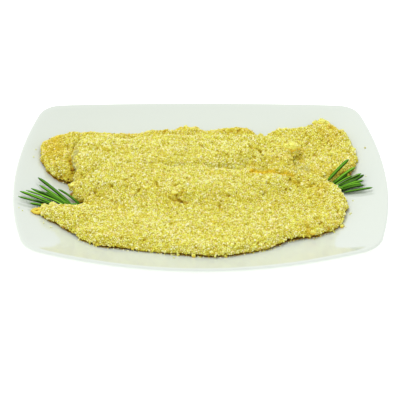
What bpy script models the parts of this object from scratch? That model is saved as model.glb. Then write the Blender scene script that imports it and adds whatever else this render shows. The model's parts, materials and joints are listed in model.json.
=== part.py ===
"""Oblong porcelain platter carrying four breaded schnitzels and two sprigs of rosemary.

Metres, +Z up. The origin lies on the table under the middle of the platter, and +X runs
along its length. The schnitzels lie in a loose pile: two at the back straight on the
platter, one across them, and a large one in front that covers the edge of the third.
"""
import math

import bmesh
import bpy
import numpy as np
from mathutils import Vector, noise
from mathutils.bvhtree import BVHTree
from mathutils.geometry import interpolate_bezier, intersect_point_line

MM = 0.001
CONTACT_GAP = 0.4 * MM

# Platter: a rectangle with bowed sides and small corner arcs.
HALF_LENGTH = 151 * MM
HALF_WIDTH = 124 * MM
LONG_SIDE_RADIUS = 505 * MM
SHORT_SIDE_RADIUS = 348 * MM
CORNER_RADIUS = 24 * MM
SIDE_SEGMENTS = 6
CORNER_SEGMENTS = 6
WELL_HEIGHT = 7 * MM
WELL_SHARE = 0.45
WALL = 5 * MM
RECESS_HEIGHT = 2.8 * MM
# The rim climbs towards the ends, the sides and most of all the corners.
RIM_HEIGHT = 14.2 * MM
RIM_RISE_END = 9.5 * MM
RIM_RISE_SIDE = 5.5 * MM
RIM_RISE_CORNER = 4.4 * MM
# Rings of the platter, as shares of its outline.
INNER_SHARES = (0.56, 0.66, 0.75, 0.83, 0.9, 0.955, 0.986)
LIP_DROPS = ((0.996, 0.6 * MM), (1.0, 1.9 * MM), (0.998, 3.7 * MM), (0.986, WALL))
UNDER_SHARES = (0.92, 0.82, 0.72, 0.62)
FOOT_SHARES = (0.6, 0.565)
RECESS_SHARE = 0.55

# Schnitzels: slabs with a rounded edge, cut to an outline and draped over what is below.
EDGE_RINGS = (1.2 * MM, 2.0 * MM, 3.2 * MM)
EDGE_WIDTH = sum(EDGE_RINGS)
EDGE_WALL_SHARE = 0.16
GRID = 10 * MM
SNAP = 2 * MM
BEND_RADIUS = 30 * MM
RELAX_ROUNDS = 900
LUMP_SIZE = 26 * MM
LUMP_SHARE = 0.16
PROBE_STEP = 2 * MM
LIFT_ROUNDS = 14
PROBE_HEIGHT = 0.2

# Each entry: outline in millimetres, thickness, and swellings (x, y, radius, height).
SCHNITZELS = {
    "schnitzel_back_left": {
        "outline": (
            (-133, 47), (-131, 26), (-120, 9), (-104, 5), (-60, 10), (-10, 14), (34, 26),
            (50, 56), (50, 79), (41, 89), (24, 89), (5, 88), (-4, 91), (-14, 91), (-24, 88),
            (-36, 85), (-52, 81),
            (-84, 81), (-112, 72), (-128, 62),
        ),
        "thickness": 8.6,
        "lumps": ((-96, 70, 13, -1.2), (-12, 84, 15, 0.8)),
        "colour": (0.60, 0.42, 0.13),
    },
    "schnitzel_back_right": {
        "outline": (
            (56, 50), (60, 22), (74, 2), (90, -5), (105, 3), (121, 9), (130, 32), (127, 60),
            (119, 76), (111, 85), (107, 93), (101, 92), (95, 85), (76, 85), (58, 80),
        ),
        "thickness": 8.6,
        "lumps": ((104, 88, 9, 1.8),),
        "colour": (0.68, 0.53, 0.15),
    },
    "schnitzel_middle": {
        "outline": (
            (-105, 35), (-104, 14), (-98, -8), (-60, -20), (0, -24), (48, -20), (74, -4),
            (79, 16), (77, 32), (85, 44), (77, 56), (66, 64), (54, 72), (44, 68), (30, 62),
            (18, 65), (2, 66), (-12, 64), (-26, 65), (-48, 62), (-66, 61), (-84, 63), (-94, 62),
            (-101, 54),
        ),
        "thickness": 8.4,
        "lumps": ((78, 46, 9, 1.6), (46, 58, 14, 1.2)),
        "colour": (0.70, 0.56, 0.15),
    },
    "schnitzel_front": {
        "outline": (
            (-107, -8), (-101, -4), (-93, 0), (-85, 6), (-76, 12), (-64, 15), (-48, 14), (-30, 13),
            (-10, 13), (6, 14), (20, 12), (32, 13), (44, 12), (56, 11), (68, 6), (80, 3),
            (97, 3), (108, -5), (116, -18), (117, -37), (108, -60), (93, -68),
            (70, -74), (57, -84), (31, -94), (6, -98), (-34, -91), (-78, -85),
            (-103, -66), (-123, -51), (-125, -41), (-110, -34), (-93, -28), (-101, -18),
        ),
        "thickness": 8.6,
        "lumps": (
            (-112, -44, 11, 1.6), (-96, -40, 10, 2.4), (-80, -43, 10, 1.6), (-84, -29, 8, -2.4),
            (-68, -33, 8, -1.6), (62, -4, 12, 1.6),
        ),
        "colour": (0.72, 0.58, 0.14),
    },
}

# Rosemary: a bare stem and its needles, each entry (place along the stem, tip x, y and z).
STEM_WIDTH = 3 * MM
NEEDLE_WIDTH = 2.6 * MM
NEEDLE_DEPTH = 1.7 * MM
NEEDLE_SIDES = 6
NEEDLE_RINGS = 6
STEM_BARE = 0.12
CLEAR_STEPS = 12
SPRIGS = {
    "rosemary_left": {
        "stem": ((-96, -27), (-124, -24)),
        "needles": (
            (0.05, -115, -10, 16), (0.12, -131, 0, 20), (0.3, -130, -10, 20), (0.45, -136, -18, 22),
            (0.6, -139, -23, 23), (0.8, -144, -26, 25), (0.7, -144, -35, 25.5), (0.4, -135, -40, 23),
            (0.2, -127, -34, 20),
        ),
    },
    "rosemary_right": {
        "stem": ((104, 0), (118, -14)),
        "needles": (
            (0.0, 121, 14, 30), (0.12, 126, 8, 26), (0.25, 131, 5, 21), (0.4, 134, 3, 22),
            (0.55, 132, -1, 21), (0.7, 134, -7, 21.5), (0.85, 132, -14, 21), (1.0, 138, -17, 22.5),
        ),
    },
}

COLLECTION = "schnitzel_platter"


def clear_scene():
    """Start from an empty scene."""
    for item in list(bpy.data.objects):
        bpy.data.objects.remove(item, do_unlink=True)


def material(name, colour, roughness):
    """A plain Principled material of one colour."""
    made = bpy.data.materials.new(name)
    made.use_nodes = True
    shader = made.node_tree.nodes["Principled BSDF"]
    shader.inputs["Base Color"].default_value = (*colour, 1.0)
    shader.inputs["Roughness"].default_value = roughness
    shader.inputs["Metallic"].default_value = 0.0
    return made


def add_object(name, bm, collection, surface):
    """Turn a finished bmesh into a named object with its material."""
    bmesh.ops.recalc_face_normals(bm, faces=bm.faces)
    mesh = bpy.data.meshes.new(name)
    bm.to_mesh(mesh)
    bm.free()
    mesh.materials.append(surface)
    mesh.shade_smooth()
    mesh.set_sharp_from_angle(angle=math.radians(50))
    made = bpy.data.objects.new(name, mesh)
    collection.objects.link(made)
    return made


def arc(centre, radius, start, end, segments):
    """Points along an arc, without its last one."""
    steps = (start + (end - start) * index / segments for index in range(segments))
    return [centre + radius * Vector((math.cos(turn), math.sin(turn))) for turn in steps]


def platter_outline():
    """Outline of the platter: two side arcs meet in a corner arc, in four quarters."""
    long_centre = Vector((0.0, HALF_WIDTH - LONG_SIDE_RADIUS))
    short_centre = Vector((HALF_LENGTH - SHORT_SIDE_RADIUS, 0.0))
    # The corner arc touches both side arcs from inside, so its centre lies on both circles.
    reach_long = LONG_SIDE_RADIUS - CORNER_RADIUS
    reach_short = SHORT_SIDE_RADIUS - CORNER_RADIUS
    span = short_centre - long_centre
    along = (reach_long ** 2 - reach_short ** 2 + span.length ** 2) / (2 * span.length)
    across = math.sqrt(reach_long ** 2 - along ** 2)
    forward = span.normalized()
    corner = long_centre + along * forward + across * Vector((forward.y, -forward.x))
    to_short = corner - short_centre
    to_long = corner - long_centre
    short_turn = math.atan2(to_short.y, to_short.x)
    long_turn = math.atan2(to_long.y, to_long.x)
    quarter = arc(short_centre, SHORT_SIDE_RADIUS, 0.0, short_turn, SIDE_SEGMENTS)
    quarter += arc(corner, CORNER_RADIUS, short_turn, long_turn, CORNER_SEGMENTS)
    quarter += arc(long_centre, LONG_SIDE_RADIUS, long_turn, math.pi / 2, SIDE_SEGMENTS)
    top = Vector((0.0, HALF_WIDTH))
    half = quarter + [top] + [Vector((-p.x, p.y)) for p in reversed(quarter)]
    return half + [Vector((p.x, -p.y)) for p in reversed(half[1:-1])]


def rim_height(point):
    """Height of the rim's top over the table at a point of the outline."""
    along = (point.x / HALF_LENGTH) ** 2
    across = (point.y / HALF_WIDTH) ** 2
    return RIM_HEIGHT + RIM_RISE_END * along + RIM_RISE_SIDE * across + RIM_RISE_CORNER * along * across


def platter_height(point, share):
    """Height of the eating surface on the way from the flat well to the rim."""
    climb = max(0.0, (share - WELL_SHARE) / (1.0 - WELL_SHARE)) ** 2
    return WELL_HEIGHT + (rim_height(point) - WELL_HEIGHT) * climb


def extrude_ring(bm, edges, outline, share, heights):
    """Extrude the open edge loop and place its new ring at a share of the outline."""
    result = bmesh.ops.extrude_edge_only(bm, edges=edges)["geom"]
    verts = [item for item in result if isinstance(item, bmesh.types.BMVert)]
    ring = set(verts)
    for vert in verts:
        index = min(range(len(outline)), key=lambda spot: turn_gap(vert.co, outline[spot]))
        point = outline[index]
        vert.co = (point.x * share, point.y * share, heights[index])
    return [edge for edge in {e for v in verts for e in v.link_edges} if ring.issuperset(edge.verts)]


def turn_gap(place, point):
    """How far apart two directions seen from the middle are."""
    return -place.xy.normalized().dot(point.normalized())


def build_platter(collection):
    """One closed porcelain shell: well, rising wall, rounded lip, underside and foot ring."""
    outline = platter_outline()
    bm = bmesh.new()
    verts = [bm.verts.new((p.x * WELL_SHARE, p.y * WELL_SHARE, WELL_HEIGHT)) for p in outline]
    bm.faces.new(verts)
    edges = list(bm.edges)
    rings = [(share, [platter_height(p, share) for p in outline]) for share in INNER_SHARES]
    rings += [(share, [rim_height(p) - drop for p in outline]) for share, drop in LIP_DROPS]
    rings += [(share, [platter_height(p, share) - WALL for p in outline]) for share in UNDER_SHARES]
    rings += [(share, [0.0] * len(outline)) for share in FOOT_SHARES]
    rings.append((RECESS_SHARE, [RECESS_HEIGHT] * len(outline)))
    for share, heights in rings:
        edges = extrude_ring(bm, edges, outline, share, heights)
    bmesh.ops.contextual_create(bm, geom=edges)
    return add_object("plate", bm, collection, material("porcelain", (0.78, 0.82, 0.77), 0.12))


def smooth_loop(points, pieces):
    """Closed curve through the points, cut into a number of pieces between each two."""
    count = len(points)
    loop = []
    for index, start in enumerate(points):
        end = points[(index + 1) % count]
        leave = start + (end - points[index - 1]) / 6
        arrive = end - (points[(index + 2) % count] - start) / 6
        loop.extend(interpolate_bezier(start, leave, arrive, end, pieces + 1)[:-1])
    return loop


def edge_distance(place, loop):
    """Distance in plan from a place to the outline."""
    nearest = math.inf
    for index, start in enumerate(loop):
        end = loop[(index + 1) % len(loop)]
        foot, share = intersect_point_line(place, start, end)
        clamped = start + (end - start) * min(1.0, max(0.0, share))
        nearest = min(nearest, (place - clamped).length)
    return nearest


def flat_sheet(loop):
    """Flat sheet in plan: rings along the outline and a grid inside them."""
    bm = bmesh.new()
    inner = [bm.faces.new([bm.verts.new((p.x, p.y, 0.0)) for p in loop])]
    bm.normal_update()
    for width in EDGE_RINGS:
        bmesh.ops.inset_region(bm, faces=inner, thickness=width, use_even_offset=True)
    face = inner[0]
    geom = [face, *face.edges, *face.verts]
    for axis in (Vector((1, 0, 0)), Vector((0, 1, 0))):
        reach = math.ceil(HALF_LENGTH / GRID)
        for step in range(-reach, reach + 1):
            cut = bmesh.ops.bisect_plane(bm, geom=geom, dist=SNAP, plane_co=axis * step * GRID, plane_no=axis)
            geom = cut["geom"]
    bmesh.ops.triangulate(bm, faces=bm.faces, quad_method="BEAUTY", ngon_method="BEAUTY")
    bm.verts.ensure_lookup_table()
    bm.verts.index_update()
    return bm


def support_trees(objects):
    """Ray-cast trees of everything that lies below."""
    trees = []
    for item in objects:
        mesh = item.data
        corners = [vert.co.copy() for vert in mesh.vertices]
        trees.append(BVHTree.FromPolygons(corners, [list(face.vertices) for face in mesh.polygons]))
    return trees


def height_below(trees, x, y):
    """Highest surface below a place."""
    hits = [tree.ray_cast(Vector((x, y, PROBE_HEIGHT)), Vector((0, 0, -1)))[0] for tree in trees]
    return max((hit.z for hit in hits if hit), default=0.0)


def drape(bm, floor):
    """Lay a floppy sheet on its support: it touches high places and sags between them."""
    count = len(bm.verts)
    spread = np.zeros((count, count))
    sag = np.zeros(count)
    for vert in bm.verts:
        around = [edge.other_vert(vert).index for edge in vert.link_edges]
        lengths = [edge.calc_length() for edge in vert.link_edges]
        spread[vert.index, around] = 1.0 / len(around)
        sag[vert.index] = np.mean(np.square(lengths)) / (4 * BEND_RADIUS)
    sheet = np.full(count, floor.max())
    for _ in range(RELAX_ROUNDS):
        sheet = np.maximum(floor, spread @ sheet - sag)
    return sheet


def lift_clear(bm, under, trees):
    """Raise the underside wherever a flat facet of it would cut into what is below."""
    triangles = [[vert.index for vert in face.verts] for face in bm.faces]
    places = [vert.co.copy() for vert in bm.verts]
    low_x, high_x = min(p.x for p in places), max(p.x for p in places)
    low_y, high_y = min(p.y for p in places), max(p.y for p in places)
    columns = math.ceil((high_x - low_x) / PROBE_STEP)
    rows = math.ceil((high_y - low_y) / PROBE_STEP)
    probes = [(low_x + i * PROBE_STEP, low_y + j * PROBE_STEP) for i in range(columns) for j in range(rows)]
    probes += [(place.x, place.y) for place in places]
    floors = [height_below(trees, x, y) for x, y in probes]
    lifted = under.copy()
    for _ in range(LIFT_ROUNDS):
        surface = [Vector((p.x, p.y, lifted[index])) for index, p in enumerate(places)]
        tree = BVHTree.FromPolygons(surface, triangles)
        raised = lifted.copy()
        for (x, y), floor in zip(probes, floors):
            hit, _normal, index, _distance = tree.ray_cast(Vector((x, y, -PROBE_HEIGHT)), Vector((0, 0, 1)))
            if hit is None:
                continue
            missing = floor + CONTACT_GAP - hit.z
            if missing > 0:
                for corner in triangles[index]:
                    raised[corner] = max(raised[corner], lifted[corner] + missing)
        if np.allclose(raised, lifted):
            break
        lifted = raised
    return lifted


def build_schnitzel(name, shape, below, collection):
    """A rounded slab with an uneven thickness, draped over the pieces below it."""
    loop = smooth_loop([Vector((x, y, 0.0)) * MM for x, y in shape["outline"]], 3)
    bm = flat_sheet(loop)
    trees = support_trees(below)
    full = shape["thickness"] * MM
    seed = Vector((len(below) * 3.7, 0.0, 0.0))
    rounding = []
    swelling = []
    for vert in bm.verts:
        inward = min(1.0, edge_distance(vert.co, loop) / EDGE_WIDTH)
        rounding.append(max(EDGE_WALL_SHARE, math.sqrt(1.0 - (1.0 - inward) ** 2)))
        lump = LUMP_SHARE * full * noise.noise(vert.co / LUMP_SIZE + seed)
        for x, y, radius, height in shape["lumps"]:
            away = (vert.co - Vector((x, y, 0.0)) * MM).length / (radius * MM)
            lump += height * MM * math.exp(-away ** 2)
        swelling.append(lump)
    rounding = np.array(rounding)
    thickness = full + np.array(swelling)
    hollow = (1.0 - rounding) * full / 2
    floor = np.array([height_below(trees, vert.co.x, vert.co.y) for vert in bm.verts]) + CONTACT_GAP
    sheet = drape(bm, floor - hollow)
    lifted = lift_clear(bm, sheet + hollow, trees)
    under = drape(bm, lifted - hollow) + hollow
    upper = under + rounding * thickness
    base = bm.verts.layers.float.new("under")
    crown = bm.verts.layers.float.new("upper")
    for vert in bm.verts:
        vert[base] = under[vert.index]
        vert[crown] = upper[vert.index]
    copied = bmesh.ops.extrude_face_region(bm, geom=bm.faces[:])["geom"]
    top = {item for item in copied if isinstance(item, bmesh.types.BMVert)}
    for vert in bm.verts:
        vert.co.z = vert[crown] if vert in top else vert[base]
    return add_object(name, bm, collection, material(name + "_crumb", shape["colour"], 0.85))


def needle_object(name, start, end, width, depth):
    """A closed needle between two points, pointed at both ends and wider than deep."""
    bm = bmesh.new()
    bmesh.ops.create_uvsphere(bm, u_segments=NEEDLE_SIDES, v_segments=NEEDLE_RINGS, radius=0.5)
    span = end - start
    turn = span.to_track_quat("Z", "Y")
    for vert in bm.verts:
        place = Vector((vert.co.x * width, vert.co.y * depth, vert.co.z * span.length))
        vert.co = turn @ place + (start + end) / 2
    mesh = bpy.data.meshes.new(name)
    bm.to_mesh(mesh)
    bm.free()
    return bpy.data.objects.new(name, mesh)


def highest_across(trees, place, aside):
    """Highest surface under a place and under the two sides of a needle there."""
    spots = (place - aside, place, place + aside)
    return max(height_below(trees, spot.x, spot.y) for spot in spots)


def clear_tip(start, end, trees, width, depth):
    """Height that a needle's tip needs for the whole needle to clear what lies under it."""
    along = (end - start).to_2d().normalized()
    aside = Vector((-along.y, along.x, 0.0)) * width / 2
    height = end.z
    for step in range(1, CLEAR_STEPS + 1):
        share = step / CLEAR_STEPS
        place = start.lerp(end, share)
        need = highest_across(trees, place, aside) + depth / 2 + CONTACT_GAP
        height = max(height, start.z + (need - start.z) / share)
    return height


def build_sprig(name, shape, below, collection, cutters):
    """A sprig of rosemary: needles that fan out from a short stem, joined into one solid."""
    trees = support_trees(below)
    foot, head = (Vector((x, y, 0.0)) * MM for x, y in shape["stem"])
    for end in (foot, head):
        end.z = height_below(trees, end.x, end.y) + STEM_WIDTH / 2 + CONTACT_GAP
    head.z = clear_tip(foot, head, trees, STEM_WIDTH, STEM_WIDTH)
    sprig = needle_object(name, foot, head, STEM_WIDTH, STEM_WIDTH)
    sprig.data.materials.append(material(name + "_leaf", (0.06, 0.14, 0.045), 0.55))
    collection.objects.link(sprig)
    for number, (share, *tip) in enumerate(shape["needles"]):
        start = foot.lerp(head, STEM_BARE + (1 - 2 * STEM_BARE) * share)
        end = Vector(tip) * MM
        end.z = clear_tip(start, end, trees, NEEDLE_WIDTH, NEEDLE_DEPTH)
        needle = needle_object(f"{name}_needle_{number}", start, end, NEEDLE_WIDTH, NEEDLE_DEPTH)
        needle.hide_render = True
        needle.display_type = "WIRE"
        cutters.objects.link(needle)
        union = sprig.modifiers.new(needle.name, "BOOLEAN")
        union.operation = "UNION"
        union.object = needle
    return sprig


def bake(item):
    """Apply the modifiers, so that later pieces can be laid on the result."""
    depsgraph = bpy.context.evaluated_depsgraph_get()
    mesh = bpy.data.meshes.new_from_object(item.evaluated_get(depsgraph))
    item.modifiers.clear()
    item.data = mesh
    mesh.shade_smooth()


def main():
    clear_scene()
    collection = bpy.data.collections.new(COLLECTION)
    cutters = bpy.data.collections.new("needles_joined")
    for group in (collection, cutters):
        bpy.context.scene.collection.children.link(group)
    pieces = [build_platter(collection)]
    for name in ("schnitzel_back_left", "schnitzel_back_right", "schnitzel_middle"):
        pieces.append(build_schnitzel(name, SCHNITZELS[name], pieces, collection))
    for name, shape in SPRIGS.items():
        sprig = build_sprig(name, shape, pieces, collection, cutters)
        bpy.context.view_layer.update()
        bake(sprig)
        pieces.append(sprig)
    build_schnitzel("schnitzel_front", SCHNITZELS["schnitzel_front"], pieces, collection)


main()
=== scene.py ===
"""Dressing for a porcelain platter with breaded schnitzels and rosemary.

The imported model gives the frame. Each food solid is replaced by a lumpy coat of the same
form, covered with crumbs, and each sprig by its separate needles. The platter is remade
from the same outline and profile with a finer surface and a glaze.
"""
import json
import math
import random

import bmesh
import bpy
import numpy as np
from mathutils import Matrix, Vector, noise
from mathutils.bvhtree import BVHTree

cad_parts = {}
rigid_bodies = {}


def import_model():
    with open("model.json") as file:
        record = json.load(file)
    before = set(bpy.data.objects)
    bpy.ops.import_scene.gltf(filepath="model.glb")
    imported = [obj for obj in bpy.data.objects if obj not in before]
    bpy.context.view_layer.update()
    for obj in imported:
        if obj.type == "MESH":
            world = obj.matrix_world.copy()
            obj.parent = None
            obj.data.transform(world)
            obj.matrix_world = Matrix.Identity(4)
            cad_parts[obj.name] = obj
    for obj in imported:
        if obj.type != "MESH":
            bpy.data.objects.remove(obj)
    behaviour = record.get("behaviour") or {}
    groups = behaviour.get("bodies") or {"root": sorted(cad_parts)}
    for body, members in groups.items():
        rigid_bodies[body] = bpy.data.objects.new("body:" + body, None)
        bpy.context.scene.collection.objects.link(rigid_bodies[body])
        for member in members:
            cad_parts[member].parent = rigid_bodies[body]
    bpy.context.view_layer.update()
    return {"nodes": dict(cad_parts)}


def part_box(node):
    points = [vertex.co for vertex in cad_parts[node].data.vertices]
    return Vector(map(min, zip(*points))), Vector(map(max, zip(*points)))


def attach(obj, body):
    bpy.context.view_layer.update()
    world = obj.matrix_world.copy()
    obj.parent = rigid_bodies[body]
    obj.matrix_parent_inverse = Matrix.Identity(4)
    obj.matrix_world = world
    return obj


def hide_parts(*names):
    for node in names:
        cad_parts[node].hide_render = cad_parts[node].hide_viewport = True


bl_info = {
    "name": "Schnitzel Platter",
    "version": (1, 0, 0),
    "blender": (4, 5, 0),
    "location": "View3D > Sidebar > Platter",
    "description": "Builds a platter of breaded schnitzels with rosemary on a packed frame",
    "category": "Add Mesh",
}

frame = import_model()
PLATE_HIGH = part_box("plate")[1]
MM = 0.001
BODY = "root"

SCHNITZELS = {
    "schnitzel_back_left": "crumb_back_left",
    "schnitzel_back_right": "crumb_back_right",
    "schnitzel_middle": "crumb_middle",
    "schnitzel_front": "crumb_front",
}

# Marks on the schnitzels, in millimetres: path (x, y), radius, height (hollows are negative),
# share of egg, darkness (painted shade in cracks, creases and where schnitzels meet).
MARKS = {
    "schnitzel_back_left": (
        (((-120, 46), (-118, 38), (-115, 28)), 4.5, -1.0, 0.0, 0.0), (((-104, 24),), 9, 1.0, 0.0, 0.0),
        (((-60, 78),), 8, 0.8, 0.5, 0.0),
        (((-34, 79), (-16, 82), (14, 81), (40, 79)), 4.0, 0.0, 0.1, 0.18),
        (((-16, 88), (-4, 89)), 4, 1.2, 0.4, 0.0),
        (((34, 86), (42, 85)), 4, 1.2, 0.5, 0.0), (((-124, 52), (-122, 36)), 9, 0.5, 0.35, 0.0),
        (((-108, 26), (-105, 15), (-106, 8)), 3.0, -0.4, 0.2, 0.55),
        (((-102, 52), (-106, 44), (-107, 34), (-107, 24)), 1.6, -0.6, 0.3, 0.4),
    ),
    "schnitzel_back_right": (
        (((100, 89), (108, 90)), 4, 1.8, 0.7, 0.0), (((84, 24),), 8, -0.7, 0.0, 0.0),
        (((92, 14),), 7, 0.8, 0.2, 0.0), (((116, 66),), 8, 0.8, 0.2, 0.0), (((112, 75),), 3.5, 0.6, 0.9, 0.1),
        (((100, 60), (105, 50)), 1.6, -1.4, 0.0, 0.25), (((82, 44), (84, 30)), 2.5, 0.6, 0.3, 0.0),
        (((106, 7), (116, 9), (123, 14)), 3.0, -0.3, 0.15, 0.45),
    ),
    "schnitzel_middle": (
        (((41, 46), (44, 43), (47, 43), (50, 42)), 1.5, -2.2, 0.0, 1.0),
        (((40, 25), (44, 25)), 1.8, -1.0, 0.3, 0.4),
        (((76, 38), (78, 32), (77, 21), (77, 14)), 1.5, -0.6, 0.3, 0.1),
        (((-60, 22), (-20, 24), (20, 26)), 7, 0.9, 0.0, 0.0),
        (((-40, 36), (0, 40), (30, 36)), 6, 0.7, 0.0, 0.0),
        (((-70, 44), (-30, 48)), 6, 0.6, 0.0, 0.0), (((62, 26), (72, 24)), 6, 0.9, 0.2, 0.0),
        (((-96, 30),), 8, -0.8, 0.0, 0.0), (((-101, 6), (-97, -2)), 3.0, -0.5, 0.2, 0.25),
    ),
    "schnitzel_front": (
        (((-96, -24), (-92, -28), (-87, -33), (-80, -36), (-70, -36), (-62, -34)), 2.6, -1.6, 0.2, 0.25),
        (((-36, -11), (-35, -15), (-34, -18)), 1.2, -1.6, 0.0, 0.8),
        (((-25, -27), (-23, -29), (-20, -29)), 1.2, -1.6, 0.1, 0.7),
        (((-19, -27), (-17, -29)), 1.2, -1.4, 0.1, 0.7),
        (((-16, -30), (-10, -30)), 1.2, -1.4, 0.2, 0.7), (((-21, -24),), 4, 0.9, 0.15, 0.0),
        (((-39, -16),), 2.5, -0.8, 0.0, 0.3), (((-50, -48), (-42, -47)), 3.0, -0.8, 0.1, 0.25),
        (((-54, -22),), 1.6, 1.4, 0.3, 0.0),
        (((43, 8.5), (52, 8), (58, 5.5), (63, 1.5), (70, 1.2), (82, 1.5)), 1.6, 2.4, 0.0, 0.0),
        (((43, 5), (52, 4.8), (57, 3.5)), 2.7, -0.4, 2.0, 0.05),
        (((59, 0), (62, -1.8), (67, -1.6), (75, -1.4)), 1.3, -0.5, 1.2, 0.05),
        (((86, -8), (96, -14)), 3.0, -1.0, 0.2, 0.15), (((73, -6), (79, -7)), 2.0, -1.0, 0.4, 0.3),
        (((100, -10), (94, -20)), 4.0, 0.9, 0.2, 0.0), (((104, -60),), 5, 0.9, 0.2, 0.0),
        (((76, -67),), 6, 0.9, 0.1, 0.0), (((-104, -10),), 5, 0.8, 0.3, 0.0),
        (((-124, -43), (-118, -40)), 3.5, 1.6, 0.2, 0.0),
        (((-60, -60), (-20, -70), (20, -72)), 9, 0.9, 0.0, 0.0),
        (((-90, -60), (-60, -74)), 7, -0.7, 0.0, 0.0),
        (((81, -74), (84, -66), (82, -58)), 2.0, -1.0, 0.4, 0.4),
    ),
}
# Where small pits are dense, in millimetres: centre, radius.
PITTED = {
    "schnitzel_back_left": ((-116, 20), 30), "schnitzel_back_right": ((102, 56), 60),
    "schnitzel_middle": ((60, 34), 44), "schnitzel_front": ((92, -34), 50),
}
# Single pits darkened with painted shade, in millimetres: x, y, radius.
PITS = {
    "schnitzel_back_left": (
        (-118, 39, 1.6), (-123, 50, 1.2), (-117, 49, 1.3), (-108, 26, 1.0), (-105, 15, 1.2), (-111, 8, 1.2),
        (-124, 35, 1.3), (-30, 78, 2.0), (27, 77, 1.8), (33, 77, 1.8),
    ),
    "schnitzel_back_right": (
        (94, 66, 1.3), (93, 59, 1.3), (89, 66, 1.1), (102, 72, 1.9), (105, 67, 1.3), (104, 59, 1.2),
        (114, 38, 1.4), (117, 36, 1.4), (121, 36, 1.1), (124, 36, 1.2), (109, 36, 1.2), (108, 26, 1.0),
        (107, 10, 1.2), (117, 51, 1.3),
    ),
    "schnitzel_middle": (
        (72, 33, 1.5), (66, 47, 1.6), (63, 27, 1.5), (67, 22, 1.1), (74, 24, 1.1), (77, 13, 1.1),
        (15, 20, 1.3), (22, 21, 1.2), (37, 21, 1.4), (-96, 3, 1.5), (-85, 38, 1.4), (18, 53, 1.0),
    ),
    "schnitzel_front": (
        (-22, -13, 1.0), (-21, -16, 1.0), (-19, -16, 1.3), (-14, -21, 1.3), (-15, -23, 1.2), (-16, -25, 1.1),
        (-28, -24, 1.2), (-11, -21, 1.0), (-5, -33, 1.1), (-11, -36, 1.0), (-73, -14, 1.4), (-59, -15, 1.3),
        (-51, -14, 1.2), (-81, -21, 1.4), (-85, -18, 1.2), (89, -10, 1.4), (92, -8, 1.4), (80, -5, 1.6),
    ),
}
# Where the coating is thin and pale: path, radius.
BARE_PATCHES = {
    "schnitzel_middle": (((-103, 38), (-105, 24), (-103, 8)), 3.6),
    "schnitzel_back_right": (((85, 22), (87, 17)), 2.6),
}
# How strongly egg shows through in patches.
EGG_PATCHES = {
    "schnitzel_back_left": 0.9, "schnitzel_back_right": 0.8, "schnitzel_middle": 0.4, "schnitzel_front": 0.3,
}
# Painted shade on the low sides of each schnitzel near the porcelain: how far up it reaches, in millimetres,
# and how dark it is.
LOW_SIDE_SHADE = {
    "schnitzel_back_left": (8, 0.65), "schnitzel_back_right": (5, 0.5),
    "schnitzel_middle": (5, 0.25), "schnitzel_front": (3.0, 0.6),
}

# Sprigs, in millimetres: ends of the stem, then every needle by root (x, y), tip (x, y, z),
# width, and 1 where its pale underside is turned up.
SPRIGS = {
    "rosemary_left": {
        "stem": ((-98, -26, 13), (-112, -33, 15)),
        "needles": (
            (-103, -27, -132, 2, 20, 2.7, 0), (-106, -28, -130, -9, 20, 2.3, 0),
            (-106, -29, -136, -17, 22, 2.2, 0),
            (-110, -31, -144, -25, 24.5, 2.7, 0), (-108, -30, -139.5, -22, 23.5, 1.9, 0),
            (-110, -33, -144.5, -34, 25.5, 2.1, 0), (-112, -35, -135, -39, 22.5, 2.6, 0),
            (-97, -24, -115, -9, 16, 1.9, 0), (-104, -28, -126, -12, 19, 2.1, 0),
            (-107, -30, -131, -19, 21, 2.2, 0),
            (-110, -32, -136, -28, 23, 2.2, 0), (-106, -30, -124, -19, 20, 1.9, 0),
            (-111, -33, -132, -34, 22, 2.1, 0), (-108, -31, -127, -26, 21, 2.2, 0),
        ),
    },
    "rosemary_right": {
        "stem": ((104, 1, 15), (115, -10, 17)),
        "needles": (
            (104, 3, 121, 14, 30, 2.9, 0), (106, 1, 126, 8, 26, 3.0, 0), (108, 0, 131, 5, 22, 2.7, 0),
            (109, -2, 128, 3, 22, 2.2, 1), (114, -6, 133, 3, 22, 2.9, 0), (111, -3, 129, 0, 21, 2.2, 1),
            (113, -6, 132, -4, 21, 2.5, 0), (114, -8, 132, -11, 21, 2.6, 0),
            (116, -11, 138, -16, 22, 2.3, 0), (106, 1, 120, 5, 21, 2.5, 0), (112, -7, 129, -8, 20, 2.6, 0),
            (108, -1, 123, 2, 21.5, 2.2, 0), (111, -5, 127, -3, 20, 2.4, 0), (110, -2, 131, 2, 21, 2.6, 0),
            (112, -6, 130, -7, 20, 2.8, 0),
        ),
    },
}


class PlatterShape(bpy.types.PropertyGroup):
    """Sizes and glaze of the platter."""

    half_length: bpy.props.FloatProperty(
        name="Half length", description="From the middle to the end of the rim",
        default=PLATE_HIGH.x, unit="LENGTH")
    half_width: bpy.props.FloatProperty(
        name="Half width", description="From the middle to the long side of the rim",
        default=PLATE_HIGH.y, unit="LENGTH")
    long_radius: bpy.props.FloatProperty(
        name="Long side radius", description="Bow of the long sides", default=505 * MM, unit="LENGTH")
    short_radius: bpy.props.FloatProperty(
        name="Short side radius", description="Bow of the short sides", default=348 * MM, unit="LENGTH")
    corner_radius: bpy.props.FloatProperty(
        name="Corner radius", description="Radius of the corner arcs", default=24 * MM, unit="LENGTH")
    wall: bpy.props.FloatProperty(
        name="Wall", description="Thickness of the porcelain", default=5 * MM, unit="LENGTH")
    glaze: bpy.props.FloatVectorProperty(
        name="Glaze", description="Colour of the glaze", subtype="COLOR",
        default=(0.66, 0.715, 0.645), min=0.0, max=1.0)


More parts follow.
